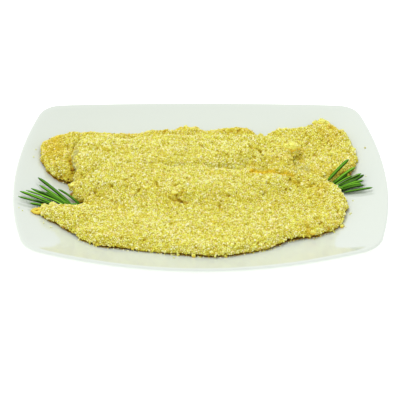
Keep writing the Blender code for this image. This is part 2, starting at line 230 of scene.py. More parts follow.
class CrumbShape(bpy.types.PropertyGroup):
    """Sizes and colours of the bread crumbs."""

    voxel: bpy.props.FloatProperty(
        name="Coat cell", description="Cell size of the coat's mesh", default=1.0 * MM, unit="LENGTH")
    grain: bpy.props.FloatProperty(
        name="Grain", description="Width of a common crumb", default=1.5 * MM, unit="LENGTH")
    spacing: bpy.props.FloatProperty(
        name="Spacing", description="Least distance between fine crumbs", default=1.15 * MM, unit="LENGTH")
    coarse_spacing: bpy.props.FloatProperty(
        name="Coarse spacing", description="Least distance between coarse crumbs",
        default=2.4 * MM, unit="LENGTH")
    clump_spacing: bpy.props.FloatProperty(
        name="Clump spacing", description="Least distance between clumps of crumbs",
        default=4.5 * MM, unit="LENGTH")
    # Painted shade: the colour between the crumbs.
    shade: bpy.props.FloatVectorProperty(
        name="Hollow", description="Colour deep between the crumbs", subtype="COLOR",
        default=(0.46, 0.36, 0.02), min=0.0, max=1.0)
    egg: bpy.props.FloatVectorProperty(
        name="Egg", description="Colour where egg has soaked the crumbs", subtype="COLOR",
        default=(0.88, 0.63, 0.03), min=0.0, max=1.0)


class SprigShape(bpy.types.PropertyGroup):
    """Sizes and colours of the rosemary."""

    fullness: bpy.props.FloatProperty(
        name="Fullness", description="Width of every needle, against the measured width", default=1.12)
    upper: bpy.props.FloatVectorProperty(
        name="Upper side", description="Colour of a needle's upper side", subtype="COLOR",
        default=(0.08, 0.26, 0.008), min=0.0, max=1.0)
    under: bpy.props.FloatVectorProperty(
        name="Underside", description="Colour of a needle's underside", subtype="COLOR",
        default=(0.3, 0.43, 0.18), min=0.0, max=1.0)


class StageShape(bpy.types.PropertyGroup):
    """Floor, light and camera."""

    floor_size: bpy.props.FloatProperty(
        name="Floor size", description="Side of the floor", default=6.0, unit="LENGTH")
    distance: bpy.props.FloatProperty(
        name="Camera distance", description="From the camera to the middle of the food",
        default=1.2563, unit="LENGTH")
    elevation: bpy.props.FloatProperty(
        name="Elevation", description="Height angle of the camera", default=0.5797, subtype="ANGLE")
    turn: bpy.props.FloatProperty(
        name="Turn", description="Sideways angle of the camera", default=0.01089, subtype="ANGLE")
    roll: bpy.props.FloatProperty(
        name="Roll", description="Tilt of the picture", default=0.00594, subtype="ANGLE")
    lens: bpy.props.FloatProperty(
        name="Lens", description="Focal length in millimetres", default=138.9)


# ---- helpers

def link(piece):
    """Put an object into the scene."""
    bpy.context.scene.collection.objects.link(piece)
    return piece


def mesh_object(name, bm):
    """Named object from a finished bmesh."""
    mesh = bpy.data.meshes.new(name)
    bm.to_mesh(mesh)
    bm.free()
    return link(bpy.data.objects.new(name, mesh))


def evaluated_mesh(piece):
    """The piece's mesh with its modifiers applied."""
    bpy.context.view_layer.update()
    depsgraph = bpy.context.evaluated_depsgraph_get()
    return bpy.data.meshes.new_from_object(piece.evaluated_get(depsgraph))


def apply_modifiers(piece):
    """Bake the modifiers into the piece's mesh."""
    mesh = evaluated_mesh(piece)
    piece.modifiers.clear()
    piece.data = mesh
    return piece


def carry(piece, node=None):
    """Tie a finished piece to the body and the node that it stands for."""
    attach(piece, BODY)
    if node:
        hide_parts(node)


def set_material(piece, material):
    """Give a piece its only material."""
    piece.data.materials.clear()
    piece.data.materials.append(material)


def store_attribute(mesh, name, values):
    """Write one number per vertex into a named attribute."""
    layer = mesh.attributes.new(name, "FLOAT", "POINT")
    layer.data.foreach_set("value", np.asarray(values, dtype=np.float32))


def read_attribute(mesh, name):
    """Read one number per vertex from a named attribute."""
    values = np.zeros(len(mesh.vertices), dtype=np.float32)
    mesh.attributes[name].data.foreach_get("value", values)
    return values


def vertex_rows(mesh, key):
    """Places or normals of the vertices, one row each."""
    rows = np.zeros(len(mesh.vertices) * 3)
    mesh.vertices.foreach_get(key, rows)
    return rows.reshape(-1, 3)


def noise_over(places, size, shift=(0, 0, 0)):
    """Noise of a given size at each place."""
    return np.array([noise.noise(Vector(place) / size + Vector(shift)) for place in places])


def add_modifier(piece, title, kind, **settings):
    """Add a modifier and set its properties."""
    made = piece.modifiers.new(title, kind)
    for key, value in settings.items():
        setattr(made, key, value)


def tree_of(mesh):
    """Ray-cast tree of a mesh."""
    corners = [vert.co.copy() for vert in mesh.vertices]
    return BVHTree.FromPolygons(corners, [list(face.vertices) for face in mesh.polygons])


def top_of(trees, x, y):
    """Highest surface at a place."""
    start = Vector((x, y, 0.2))
    heights = [tree.ray_cast(start, Vector((0, 0, -1)))[0] for tree in trees]
    return max(hit.z for hit in heights if hit)


def new_material(name):
    """New material, its node tree and its Principled shader."""
    material = bpy.data.materials.new(name)
    material.use_nodes = True
    tree = material.node_tree
    return material, tree, tree.nodes["Principled BSDF"]


def feed(tree, target, inputs):
    """Give each input of a node its value, or a link where the value is a socket."""
    for key, value in inputs.items():
        if isinstance(value, bpy.types.NodeSocket):
            tree.links.new(value, target.inputs[key])
        else:
            target.inputs[key].default_value = value


def node(tree, kind, inputs=None, **settings):
    """Add a node, set its properties and feed its inputs."""
    made = tree.nodes.new(kind)
    for key, value in settings.items():
        setattr(made, key, value)
    feed(tree, made, inputs or {})
    return made


def maths(tree, operation, *values, **settings):
    """Result of a maths operation on values or sockets."""
    inputs = dict(enumerate(values))
    return node(tree, "ShaderNodeMath", inputs, operation=operation, **settings).outputs["Value"]


def mixed(tree, factor, first, second, blend="MIX"):
    """Mix of two colours."""
    inputs = {"Factor": factor, "A": first, "B": second}
    return node(tree, "ShaderNodeMix", inputs, data_type="RGBA", blend_type=blend).outputs["Result"]


def ranged(tree, value, **ends):
    """A value stretched between the ends that are named, such as from_min."""
    inputs = {key.replace("_", " ").title(): end for key, end in ends.items()}
    return node(tree, "ShaderNodeMapRange", {"Value": value, **inputs}).outputs["Result"]


def vertex_value(tree, name):
    """Number kept on the vertices under a name."""
    return node(tree, "ShaderNodeAttribute", attribute_name=name).outputs["Fac"]


def cloudy(tree, scale, detail=2.0):
    """Soft noise over the piece."""
    place = node(tree, "ShaderNodeTexCoord").outputs["Object"]
    inputs = {"Vector": place, "Scale": scale, "Detail": detail}
    return node(tree, "ShaderNodeTexNoise", inputs).outputs["Fac"]


def bumped(tree, height, strength, distance, invert=False):
    """Normal bent by a height."""
    inputs = {"Height": height, "Strength": strength, "Distance": distance}
    return node(tree, "ShaderNodeBump", inputs, invert=invert).outputs["Normal"]


def colour_ramp(tree, factor, stops):
    """Colour read from (place, colour) stops along a factor."""
    ramp = node(tree, "ShaderNodeValToRGB", {"Fac": factor})
    elements = ramp.color_ramp.elements
    while len(elements) > 1:
        elements.remove(elements[-1])
    elements[0].position = stops[0][0]
    elements[0].color = (*stops[0][1], 1.0)
    for place, colour in stops[1:]:
        elements.new(place).color = (*colour, 1.0)
    return ramp.outputs["Color"]


# ---- platter

SIDE_SEGMENTS = 20
CORNER_SEGMENTS = 14
WELL_HEIGHT = 7 * MM
WELL_SHARE = 0.45
RECESS_HEIGHT = 2.8 * MM
RIM_HEIGHT = 14.2 * MM
RIM_RISE_END = 9.5 * MM
RIM_RISE_SIDE = 5.5 * MM
RIM_RISE_CORNER = 4.4 * MM
LIP_START = 0.986
FOOT_PROFILE = ((0.62, None), (0.606, 1.2 * MM), (0.6, 0.4 * MM), (0.594, 0.0), (0.571, 0.0),
                (0.565, 0.4 * MM), (0.556, 1.8 * MM), (0.548, 2.6 * MM), (0.535, RECESS_HEIGHT))


def arc(centre, radius, start, end, segments):
    """Points along an arc, without its last one."""
    turns = (start + (end - start) * index / segments for index in range(segments))
    return [centre + radius * Vector((math.cos(turn), math.sin(turn))) for turn in turns]


def platter_outline(shape):
    """Side arcs joined by corner arcs that touch them from inside."""
    long_centre = Vector((0.0, shape.half_width - shape.long_radius))
    short_centre = Vector((shape.half_length - shape.short_radius, 0.0))
    reach_long = shape.long_radius - shape.corner_radius
    reach_short = shape.short_radius - shape.corner_radius
    span = short_centre - long_centre
    along = (reach_long ** 2 - reach_short ** 2 + span.length ** 2) / (2 * span.length)
    across = math.sqrt(reach_long ** 2 - along ** 2)
    forward = span.normalized()
    corner = long_centre + along * forward + across * Vector((forward.y, -forward.x))
    short_turn = math.atan2(*(corner - short_centre).yx)
    long_turn = math.atan2(*(corner - long_centre).yx)
    quarter = arc(short_centre, shape.short_radius, 0.0, short_turn, SIDE_SEGMENTS)
    quarter += arc(corner, shape.corner_radius, short_turn, long_turn, CORNER_SEGMENTS)
    quarter += arc(long_centre, shape.long_radius, long_turn, math.pi / 2, SIDE_SEGMENTS)
    top = Vector((0.0, shape.half_width))
    half = quarter + [top] + [Vector((-p.x, p.y)) for p in reversed(quarter)]
    return half + [Vector((p.x, -p.y)) for p in reversed(half[1:-1])]


def rim_height(shape, point):
    """Height of the rim's top, which climbs to the ends, the sides and the corners."""
    along = (point.x / shape.half_length) ** 2
    across = (point.y / shape.half_width) ** 2
    return RIM_HEIGHT + RIM_RISE_END * along + RIM_RISE_SIDE * across + RIM_RISE_CORNER * along * across


def platter_height(shape, point, share):
    """Height of the eating surface between the flat well and the rim."""
    climb = max(0.0, (share - WELL_SHARE) / (1.0 - WELL_SHARE)) ** 2
    return WELL_HEIGHT + (rim_height(shape, point) - WELL_HEIGHT) * climb


def platter_rings(shape, outline):
    """Share of the outline and heights of every ring, from the well over the lip to the foot."""
    rings = []
    for share in (0.15, 0.3, *np.linspace(0.4, LIP_START, 22)):
        rings.append((share, [platter_height(shape, p, share) for p in outline]))
    start = [platter_height(shape, p, LIP_START) for p in outline]
    for step in range(1, 12):
        # The lip turns half round from the eating surface to the underside.
        turn = math.pi * step / 12
        share = LIP_START + (1.0 - LIP_START) * math.sin(turn)
        drop = shape.wall * (1 - math.cos(turn)) / 2
        swell = 0.5 * MM * math.sin(turn)
        rings.append((share, [height - drop + swell for height in start]))
    for share in np.linspace(LIP_START, FOOT_PROFILE[0][0], 16):
        rings.append((share, [platter_height(shape, p, share) - shape.wall for p in outline]))
    for share, height in FOOT_PROFILE[1:]:
        rings.append((share, [height] * len(outline)))
    rings.append((0.3, [RECESS_HEIGHT] * len(outline)))
    return rings


def edges_between(verts):
    """Edges that join the given vertices."""
    members = set(verts)
    joined = (edge for vert in verts for edge in vert.link_edges if members.issuperset(edge.verts))
    return list(dict.fromkeys(joined))


def settle_faces(bm, start=0):
    """Order the faces from a start on by their centres, because extrusion leaves them in any order."""
    faces = list(bm.faces)
    grown = sorted(faces[start:], key=lambda face: face.calc_center_median()[:])
    ranks = {face: rank for rank, face in enumerate(faces[:start] + grown)}
    bm.faces.sort(key=ranks.get)


def extrude_ring(bm, edges, places, outline, share, heights):
    """Extrude the open edge loop and set its new ring; places finds a vertex's outline point."""
    made = bmesh.ops.extrude_edge_only(bm, edges=edges)["geom"]
    verts = [item for item in made if isinstance(item, bmesh.types.BMVert)]
    found = {}
    for vert in verts:
        index = places[vert.co.to_tuple(7)]
        point = outline[index]
        vert.co = (point.x * share, point.y * share, heights[index])
        found[vert.co.to_tuple(7)] = index
    return edges_between(verts), found


def glaze_material(shape):
    """White porcelain under a clear glaze, with faint unevenness in its gloss."""
    material, tree, shader = new_material("porcelain_glaze")
    cloud = cloudy(tree, 14.0, 3.0)
    faint = [channel * 0.985 for channel in shape.glaze]
    feed(tree, shader, {
        "Base Color": mixed(tree, cloud, (*shape.glaze, 1.0), (*faint, 1.0)),
        "Roughness": ranged(tree, cloud, to_min=0.05, to_max=0.09),
        "Normal": bumped(tree, cloudy(tree, 45.0), 0.06, 0.4 * MM),
        "IOR": 2.0,
    })
    return material


class PLATTER_OT_plate(bpy.types.Operator):
    """Make the glazed platter"""

    bl_idname = "platter.plate"
    bl_label = "Platter"

    def execute(self, context):
        shape = context.scene.platter_shape
        outline = platter_outline(shape)
        bm = bmesh.new()
        rings = platter_rings(shape, outline)
        share, heights = rings[0]
        verts = [bm.verts.new((p.x * share, p.y * share, z)) for p, z in zip(outline, heights)]
        bm.faces.new(verts)
        places = {vert.co.to_tuple(7): index for index, vert in enumerate(verts)}
        edges = list(bm.edges)
        for share, heights in rings[1:]:
            edges, places = extrude_ring(bm, edges, places, outline, share, heights)
        bmesh.ops.contextual_create(bm, geom=edges)
        settle_faces(bm)
        bmesh.ops.recalc_face_normals(bm, faces=bm.faces)
        plate = mesh_object("platter_porcelain", bm)
        plate.data.shade_smooth()
        set_material(plate, glaze_material(shape))
        carry(plate, "plate")
        return {"FINISHED"}


# ---- schnitzel coats

# Lumps of the coat: width and height of each size.
LUMPS = ((20 * MM, 1.5 * MM), (9 * MM, 1.0 * MM), (4 * MM, 1.0 * MM), (2.2 * MM, 0.7 * MM))
# Small pits: their spacing and depth, their radius and soft edge against the spacing, and how
# much painted shade darkens the dense ones and the placed ones.
PIT_SPACING = 3.6 * MM
PIT_DEPTH = 1.4 * MM
PIT_RADIUS = 0.38
PIT_EDGE = 0.12
DENSE_PIT_DARKNESS = 0.85
SINGLE_PIT_DARKNESS = 0.8
SOFTEN_STEPS = 16
# Clouds of egg with their level, the ragged edge of bare places with its strength, and the
# patches of rough crumbs.
EGG_CLOUD = 10 * MM
EGG_LEVEL = 0.3
RAGGED = 5 * MM
RAGGED_EDGE = 2.2
ROUGH_PATCH = 9 * MM
# Share of crumbs missing on bare places, where painted shade is above the limit, and on egg.
BARE_LOSS = 0.6
PIT_LOSS = 0.85
PIT_LIMIT = 0.4
EGG_LOSS = 0.8
# Slopes that face up more than this get only a share of the rough crumbs.
FLAT_FROM = 0.75
FLAT_SHARE = 0.35
PROUD = -0.1 * MM
# How far rays start off the coat, in millimetres, and how far they look.
START_OFF = 1.8
REACH_OUT = 60 * MM
# Directions in which a place on a coat may be open to the air.
LOOKS = [Vector(look) for look in (
    (0, 0, 1), (0.8, 0, 0.6), (-0.8, 0, 0.6), (0, 0.8, 0.6), (0, -0.8, 0.6),
    (0, -0.95, 0.3), (0, -1, -0.1), (1, 0, -0.1), (-1, 0, -0.1))]


def coat_surface(name, cell):
    """Even mesh over a food solid, with its flat facets smoothed away."""
    bm = bmesh.new()
    bm.from_mesh(frame["nodes"][name].data)
    bmesh.ops.remove_doubles(bm, verts=bm.verts, dist=0.001 * MM)
    for face in bm.faces:
        face.smooth = True
    coat = mesh_object(name.replace("schnitzel", "coat"), bm)
    add_modifier(coat, "even", "REMESH", mode="VOXEL", voxel_size=cell, use_smooth_shade=True)
    add_modifier(coat, "soften", "SMOOTH", factor=0.5, iterations=SOFTEN_STEPS)
    return apply_modifiers(coat)


def distance_to(spots, path):
    """Distance of each spot from a line of points in millimetres."""
    corners = np.array(path, dtype=float) * MM
    nearest = np.hypot(*(spots - corners[0]).T)
    for start, end in zip(corners, corners[1:]):
        span = end - start
        share = np.clip((spots - start) @ span / (span @ span), 0.0, 1.0)
        nearest = np.minimum(nearest, np.hypot(*(spots - start - share[:, None] * span).T))
    return nearest


def pit_share(place, centre, radius):
    """How far a place lies in one of the small pits, which are dense around a centre."""
    distances, points = noise.voronoi(place / PIT_SPACING)
    away = math.dist((place.x, place.y), centre) / radius
    if noise.noise(points[0] * 0.7) < min(0.2, 0.4 * away - 0.25):
        return 0.0
    return min(1.0, max(0.0, (PIT_RADIUS - distances[0]) / PIT_EDGE))


def swell(coat, name):
    """Push the coat in and out for lumps, pits and marks, note egg and bare places, and note painted shade in
    pits, cracks and creases, on low sides and on undersides.
    """
    mesh = coat.data
    places = vertex_rows(mesh, "co")
    normals = vertex_rows(mesh, "normal")
    spots = places[:, :2]
    topside = np.clip((normals[:, 2] + 0.3) / 0.5, 0.0, 1.0)
    push = np.full(len(places), PROUD)
    for size, height in LUMPS:
        push += height * noise_over(places, size)
    (x, y), radius = PITTED[name]
    dense = [pit_share(Vector(place), (x * MM, y * MM), radius * MM) for place in places]
    # Pits are pressed in and get painted shade by the same amount.
    deep = DENSE_PIT_DARKNESS * topside * np.array(dense)
    for x, y, radius in PITS[name]:
        fade = np.exp(-(distance_to(spots, ((x, y),)) / (radius * MM)) ** 2)
        deep += SINGLE_PIT_DARKNESS * topside * fade
    push -= PIT_DEPTH * np.minimum(deep, 1.0)
    egg = np.clip(noise_over(places, EGG_CLOUD, (5, 3, 1)) - EGG_LEVEL, 0.0, 1.0) * EGG_PATCHES[name]
    for path, radius, height, wet, dark in MARKS[name]:
        share = np.exp(-(distance_to(spots, path) / (radius * MM)) ** 2) * topside
        push += height * MM * share
        egg += wet * share
        # A mark's darkness is painted shade.
        deep += dark * share
    bare = np.zeros(len(places))
    if name in BARE_PATCHES:
        path, radius = BARE_PATCHES[name]
        ragged = noise_over(places, RAGGED) * RAGGED_EDGE
        bare = np.clip(1.2 - distance_to(spots, path) / (radius * MM) + ragged, 0.0, 1.0)
    # Painted shade on the low sides, fading with height above the porcelain.
    reach, most = LOW_SIDE_SHADE[name]
    ground = tree_of(bpy.data.objects["platter_porcelain"].data)
    lift = np.array([place[2] - top_of([ground], place[0], place[1]) for place in places]) / (reach * MM)
    deep += most * np.clip(1.1 - lift, 0.0, 1.0) * np.clip(1.2 - 2.0 * normals[:, 2], 0.0, 1.0)
    # Painted shade on the undersides.
    deep += np.clip(-0.2 - normals[:, 2], 0.0, 1.0)
    mesh.vertices.foreach_set("co", (places + normals * push[:, None]).ravel())
    mesh.update()
    store_attribute(mesh, "egg", np.clip(egg, 0.0, 1.0))
    store_attribute(mesh, "bare", bare)
    store_attribute(mesh, "deep", np.clip(deep, 0.0, 1.0))


def mark_exposed(coat, others):
    """Find where the coat is open to the air, so that only those places get crumbs."""
    exposed = []
    for vert in coat.data.vertices:
        start = vert.co + vert.normal * START_OFF * MM
        open_air = 0.0
        if vert.normal.z > -0.8:
            for look in LOOKS:
                if look.dot(vert.normal) < 0.05:
                    continue
                if not any(tree.ray_cast(start, look, REACH_OUT)[0] for tree in others):
                    open_air = 1.0
                    break
        exposed.append(open_air)
    exposed = np.array(exposed)
    bare, deep, egg = (read_attribute(coat.data, label) for label in ("bare", "deep", "egg"))
    cover = exposed * (1.0 - BARE_LOSS * bare)
    cover = cover * (1.0 - PIT_LOSS * deep * (deep > PIT_LIMIT)) * (1.0 - EGG_LOSS * egg)
    store_attribute(coat.data, "exposed", cover)
    verts = coat.data.vertices
    edge = np.array([1.0 if vert.normal.z < FLAT_FROM else FLAT_SHARE for vert in verts])
    patches = np.array([max(0.0, 0.4 + 1.6 * noise.noise(vert.co / ROUGH_PATCH)) for vert in verts])
    store_attribute(coat.data, "rough", np.clip(exposed * edge * patches * (1.0 - bare), 0.0, 1.0))


# ---- crumb finish

GOLD = (0.62, 0.55, 0.03)
STRAW = (0.83, 0.81, 0.12)
YELLOW = (0.9, 0.92, 0.25)
PALE = (0.96, 0.96, 0.58)
CREAM = (0.98, 0.95, 0.68)
PEACH = (0.93, 0.78, 0.38)
AMBER = (0.84, 0.66, 0.06)
BARE_TONE = (0.64, 0.62, 0.26)
# Colours along a crumb's own tone, where the coat is cool and where it is warm.
COOL_TONES = ((0.0, STRAW), (0.25, YELLOW), (0.6, PALE), (0.82, CREAM), (0.87, PEACH), (0.94, GOLD))
WARM_TONES = ((0.0, AMBER), (0.2, STRAW), (0.45, YELLOW), (0.66, PALE), (0.8, PEACH), (0.95, GOLD))
# Painted shade: what a crumb's colour is multiplied by, from the open surface to the bottom of a pit.
SUNK_TONES = ((0.0, (1.0, 1.0, 1.0)), (0.25, (0.98, 0.96, 0.58)), (0.5, (0.84, 0.74, 0.16)),
              (0.75, (0.66, 0.42, 0.05)), (1.0, (0.34, 0.15, 0.01)))
CLUMP_TONES = ((0.0, YELLOW), (0.3, STRAW), (0.5, AMBER))
# Darkest clump colour, low on the clumps: egg with painted shade.
WET_SHADED_BROWN = (0.62, 0.34, 0.02)
# Dark brown to orange of the film of painted shade at each schnitzel's foot.
FILM_TONES = ((0.35, (0.42, 0.2, 0.01)), (0.65, (0.7, 0.45, 0.05)))
# Least painted shade on the packed crumbs that lie under the loose ones.
PACKED_DEPTH = 0.4


def crumb_tones():
    """Node group: colour of a crumb from its own tone, its place, egg, bare coating and painted shade."""
    group = bpy.data.node_groups.new("crumb_tones", "ShaderNodeTree")
    for label in ("Tone", "Egg", "Bare", "Painted Shade", "Warmth"):
        group.interface.new_socket(label, in_out="INPUT", socket_type="NodeSocketFloat")
    group.interface.new_socket("Egg Color", in_out="INPUT", socket_type="NodeSocketColor")
    group.interface.new_socket("Color", in_out="OUTPUT", socket_type="NodeSocketColor")
    given = node(group, "NodeGroupInput").outputs
    patch = ranged(group, cloudy(group, 48.0), from_min=0.35, from_max=0.75)
    warmth = maths(group, "ADD", patch, given["Warmth"], use_clamp=True)
    cool = colour_ramp(group, given["Tone"], COOL_TONES)
    warm = colour_ramp(group, given["Tone"], WARM_TONES)
    soaked = mixed(group, given["Egg"], mixed(group, warmth, cool, warm), given["Egg Color"])
    sunk = mixed(group, 1.0, soaked, colour_ramp(group, given["Painted Shade"], SUNK_TONES), "MULTIPLY")
    node(group, "NodeGroupOutput", {"Color": mixed(group, given["Bare"], sunk, (*BARE_TONE, 1.0))})
    return group


def place_tones(tree, group, shape, warmth, tone, least_depth=0.0):
    """Put the crumb colour group into a material with this piece's values."""
    return node(tree, "ShaderNodeGroup", {
        "Tone": tone, "Egg": vertex_value(tree, "egg"), "Bare": vertex_value(tree, "bare"),
        "Painted Shade": maths(tree, "MAXIMUM", vertex_value(tree, "deep"), least_depth),
        "Warmth": warmth, "Egg Color": (*shape.egg, 1.0),
    }, node_tree=group).outputs["Color"]


def crumb_material(name, group, shape, warmth):
    """Matt crumb whose colour comes from its own tone."""
    material, tree, shader = new_material(name)
    total = maths(tree, "ADD", vertex_value(tree, "tone"), vertex_value(tree, "shift"))
    feed(tree, shader, {
        "Base Color": place_tones(tree, group, shape, warmth, maths(tree, "FRACT", total)),
        "Roughness": 0.7, "Specular IOR Level": 0.3,
    })
    return material


def coat_material(name, group, shape, warmth):
    """Packed fine crumbs under the loose ones, with painted shade between the grains and some painted shade
    all over.
    """
    material, tree, shader = new_material(name)
    place = node(tree, "ShaderNodeTexCoord").outputs["Object"]
    grains = node(tree, "ShaderNodeTexVoronoi", {"Vector": place, "Scale": 1150.0}).outputs
    split = node(tree, "ShaderNodeSeparateColor", {"Color": grains["Color"]})
    tones = place_tones(tree, group, shape, warmth, split.outputs["Red"], PACKED_DEPTH)
    # Painted shade between the grains.
    pit = ranged(tree, grains["Distance"], from_min=0.25, from_max=0.75)
    feed(tree, shader, {
        "Base Color": mixed(tree, pit, tones, (*shape.shade, 1.0)),
        "Normal": bumped(tree, grains["Distance"], 0.9, 0.5 * MM, invert=True),
        "Roughness": 0.8, "Specular IOR Level": 0.25,
    })
    return material


def clump_material(shape):
    """Egg with crumbs stirred into it: pale on top, orange to brown below, where egg and painted shade both
    darken it.
    """
    material, tree, shader = new_material("egg_clump")
    grains = cloudy(tree, 700.0)
    total = maths(tree, "ADD", maths(tree, "MULTIPLY_ADD", grains, 0.7, -0.35), vertex_value(tree, "egg"))
    feed(tree, shader, {
        "Base Color": colour_ramp(tree, total, (*CLUMP_TONES, (0.75, shape.egg), (1.0, WET_SHADED_BROWN))),
        "Normal": bumped(tree, grains, 0.6, 0.3 * MM),
        "Roughness": 0.55,
    })
    return material


# ---- crumbs

CLUMP_SEEDS = (47, 36, 25, 14, 3)
CHIPS_IN_A_CLUMP = 8
# Least and most stretch of a crumb along x, y and z.
CRUMB_STRETCH = ((0.85, 1.2), (0.75, 1.05), (0.65, 0.95))
# A crumb gets painted shade at its foot: up to this height over the coat, and this much of it there.
FOOT_HEIGHT = 0.6 * MM
FOOT_DEPTH = 0.5


def crumb_shapes(name, makers, chooser):
    """Collection of broken crumb shapes of about unit size."""
    shapes = bpy.data.collections.new(name)
    for index, maker in enumerate(makers):
        bm = bmesh.new()
        maker(bm, index)
        for vert in bm.verts:
            vert.co *= chooser.uniform(0.72, 1.2)
            vert.co += Vector([chooser.uniform(-0.1, 0.1) for _ in range(3)])
        stretch = Vector([chooser.uniform(*ends) for ends in CRUMB_STRETCH])
        bmesh.ops.scale(bm, vec=stretch, verts=bm.verts)
        for face in bm.faces:
            face.smooth = index % 3 != 0
        mesh = bpy.data.meshes.new(f"{name}_{index}")
        bm.to_mesh(mesh)
        bm.free()
        shapes.objects.link(bpy.data.objects.new(f"{name}_{index}", mesh))
    return shapes


def block(bm, _):
    """Six-sided chip."""
    bmesh.ops.create_cube(bm, size=0.8)


def pebble(bm, _):
    """Rounded grain."""
    bmesh.ops.create_icosphere(bm, subdivisions=1, radius=0.5)


def clump(bm, index):
    """Several chips stuck together; each holds its own shift of tone."""
    shift = bm.verts.layers.float.new("shift")
    chooser = random.Random(CLUMP_SEEDS[index])
    for _ in range(CHIPS_IN_A_CLUMP):
        turn = Matrix.Rotation(chooser.uniform(0, 6), 4, Vector((chooser.random(), chooser.random(), 1)))
        away = Vector((chooser.gauss(0, 0.55), chooser.gauss(0, 0.55), chooser.uniform(-0.2, 0.7)))
        size = chooser.uniform(0.5, 0.85)
        chip = bmesh.ops.create_cube(bm, size=size, matrix=Matrix.Translation(away) @ turn)
        own = chooser.random()
        for vert in chip["verts"]:
            vert[shift] = own


def random_value(tree, kind, inputs, seed):
    """Outputs of a random value with its own seed."""
    return node(tree, "FunctionNodeRandomValue", {**inputs, "Seed": seed}, data_type=kind).outputs


def scatter_tree(name, shapes, mask, spacing, most, smallest, largest, seed):
    """Geometry nodes that lay crumbs on the masked parts of a coat and give them painted shade by how low
    they sit.
    """
    tree = bpy.data.node_groups.new(name, "GeometryNodeTree")
    for way in ("INPUT", "OUTPUT"):
        tree.interface.new_socket("Geometry", in_out=way, socket_type="NodeSocketGeometry")
    ground = node(tree, "NodeGroupInput").outputs["Geometry"]
    exposed, kept = (
        node(tree, "GeometryNodeInputNamedAttribute", {"Name": label}, data_type="FLOAT").outputs["Attribute"]
        for label in (mask, "deep"))
    points = node(tree, "GeometryNodeDistributePointsOnFaces", distribute_method="POISSON")
    feed(tree, points, {"Mesh": ground, "Distance Min": spacing, "Density Max": most,
                        "Density Factor": exposed, "Seed": seed})
    source = node(tree, "GeometryNodeCollectionInfo", transform_space="ORIGINAL")
    feed(tree, source, {"Collection": shapes, "Separate Children": True, "Reset Children": True})
    placed = node(tree, "GeometryNodeInstanceOnPoints", {
        "Points": points.outputs["Points"], "Instance": source.outputs["Instances"], "Pick Instance": True,
        "Instance Index": random_value(tree, "INT", {4: 0, 5: len(shapes.objects) - 1}, seed + 11)[2],
        "Rotation": random_value(tree, "FLOAT_VECTOR", {1: (math.tau, math.tau, math.tau)}, seed + 22)[0],
        "Scale": random_value(tree, "FLOAT", {2: smallest, 3: largest}, seed + 33)[1],
    })
    toned = node(tree, "GeometryNodeStoreNamedAttribute", data_type="FLOAT", domain="INSTANCE")
    feed(tree, toned, {"Geometry": placed.outputs["Instances"], "Name": "tone",
                       "Value": random_value(tree, "FLOAT", {}, seed + 44)[1]})
    real = node(tree, "GeometryNodeRealizeInstances", {"Geometry": toned.outputs["Geometry"]})
    # Painted shade at each crumb's foot, or the coat's painted shade under it where that is more.
    height = node(tree, "GeometryNodeProximity", {0: ground}, target_element="FACES").outputs["Distance"]
    sunk = ranged(tree, height, from_max=FOOT_HEIGHT, to_min=FOOT_DEPTH, to_max=0.0)
    shaded = node(tree, "GeometryNodeStoreNamedAttribute", data_type="FLOAT", domain="POINT")
    feed(tree, shaded, {"Geometry": real.outputs["Geometry"], "Name": "deep",
                        "Value": maths(tree, "MAXIMUM", sunk, kept)})
    node(tree, "NodeGroupOutput", {"Geometry": shaded.outputs["Geometry"]})
    return tree


def scatter(name, ground, tree):
    """Run a scatter on a ground mesh and keep the crumbs as one real mesh."""
    carrier = link(bpy.data.objects.new(name, ground))
    add_modifier(carrier, "crumbs", "NODES", node_group=tree)
    mesh = evaluated_mesh(carrier)
    mesh.name = name
    bpy.data.objects.remove(carrier)
    return link(bpy.data.objects.new(name, mesh))


FINE_DENSITY = 2.6e6
# Kinds of crumbs: collection of shapes, the shapes, mask, most of them on a square metre, and
# least and greatest width against a common crumb.
CRUMB_KINDS = {
    "fine": ("fine_crumb", [block] * 6 + [pebble], "exposed", FINE_DENSITY, 0.65, 1.15),
    "coarse": ("coarse_crumb", [pebble, block, pebble], "rough", 2.2e5, 1.0, 1.6),
    "clump": ("clump", [clump] * 5, "rough", 2.0e4, 0.8, 1.3),
}
SHAPE_SEED = 5
FIRST_SEED = 20
SEED_STEP = 7
COAT_WARMTH = {
    "schnitzel_back_left": 0.35, "schnitzel_back_right": 0.1,
    "schnitzel_middle": -0.35, "schnitzel_front": -0.2,
}


class PLATTER_OT_schnitzels(bpy.types.Operator):
    """Make the coats of the schnitzels and cover them with crumbs"""

    bl_idname = "platter.schnitzels"
    bl_label = "Schnitzels"

    def execute(self, context):
        shape = context.scene.crumb_shape
        coats = {}
        for name in SCHNITZELS:
            coats[name] = coat_surface(name, shape.voxel)
            swell(coats[name], name)
        trees = {name: tree_of(coat.data) for name, coat in coats.items()}
        group = crumb_tones()
        chooser = random.Random(SHAPE_SEED)
        spacings = (shape.spacing, shape.coarse_spacing, shape.clump_spacing)
        kinds = [
            (kind, crumb_shapes(label, makers, chooser), mask, spacing, *rest)
            for spacing, (kind, (label, makers, mask, *rest)) in zip(spacings, CRUMB_KINDS.items())]
        for index, (name, coat) in enumerate(coats.items()):
            others = [tree for other, tree in trees.items() if other != name]
            mark_exposed(coat, others)
            title = name.replace("schnitzel_", "")
            warmth = COAT_WARMTH[name]
            finish = crumb_material(f"loose_crumb_{title}", group, shape, warmth)
            set_material(coat, coat_material(f"packed_crumb_{title}", group, shape, warmth))
            carry(coat, name)
            for step, (kind, shapes, mask, spacing, most, small, large) in enumerate(kinds):
                tree = scatter_tree(f"{kind}_{title}", shapes, mask, spacing, most,
                                    shape.grain * small, shape.grain * large,
                                    FIRST_SEED + SEED_STEP * index + step)
                crumbs = scatter(f"{kind}_crumbs_{title}", coat.data, tree)
                set_material(crumbs, finish)
                carry(crumbs)
        return {"FINISHED"}


# ---- clumps and loose crumbs

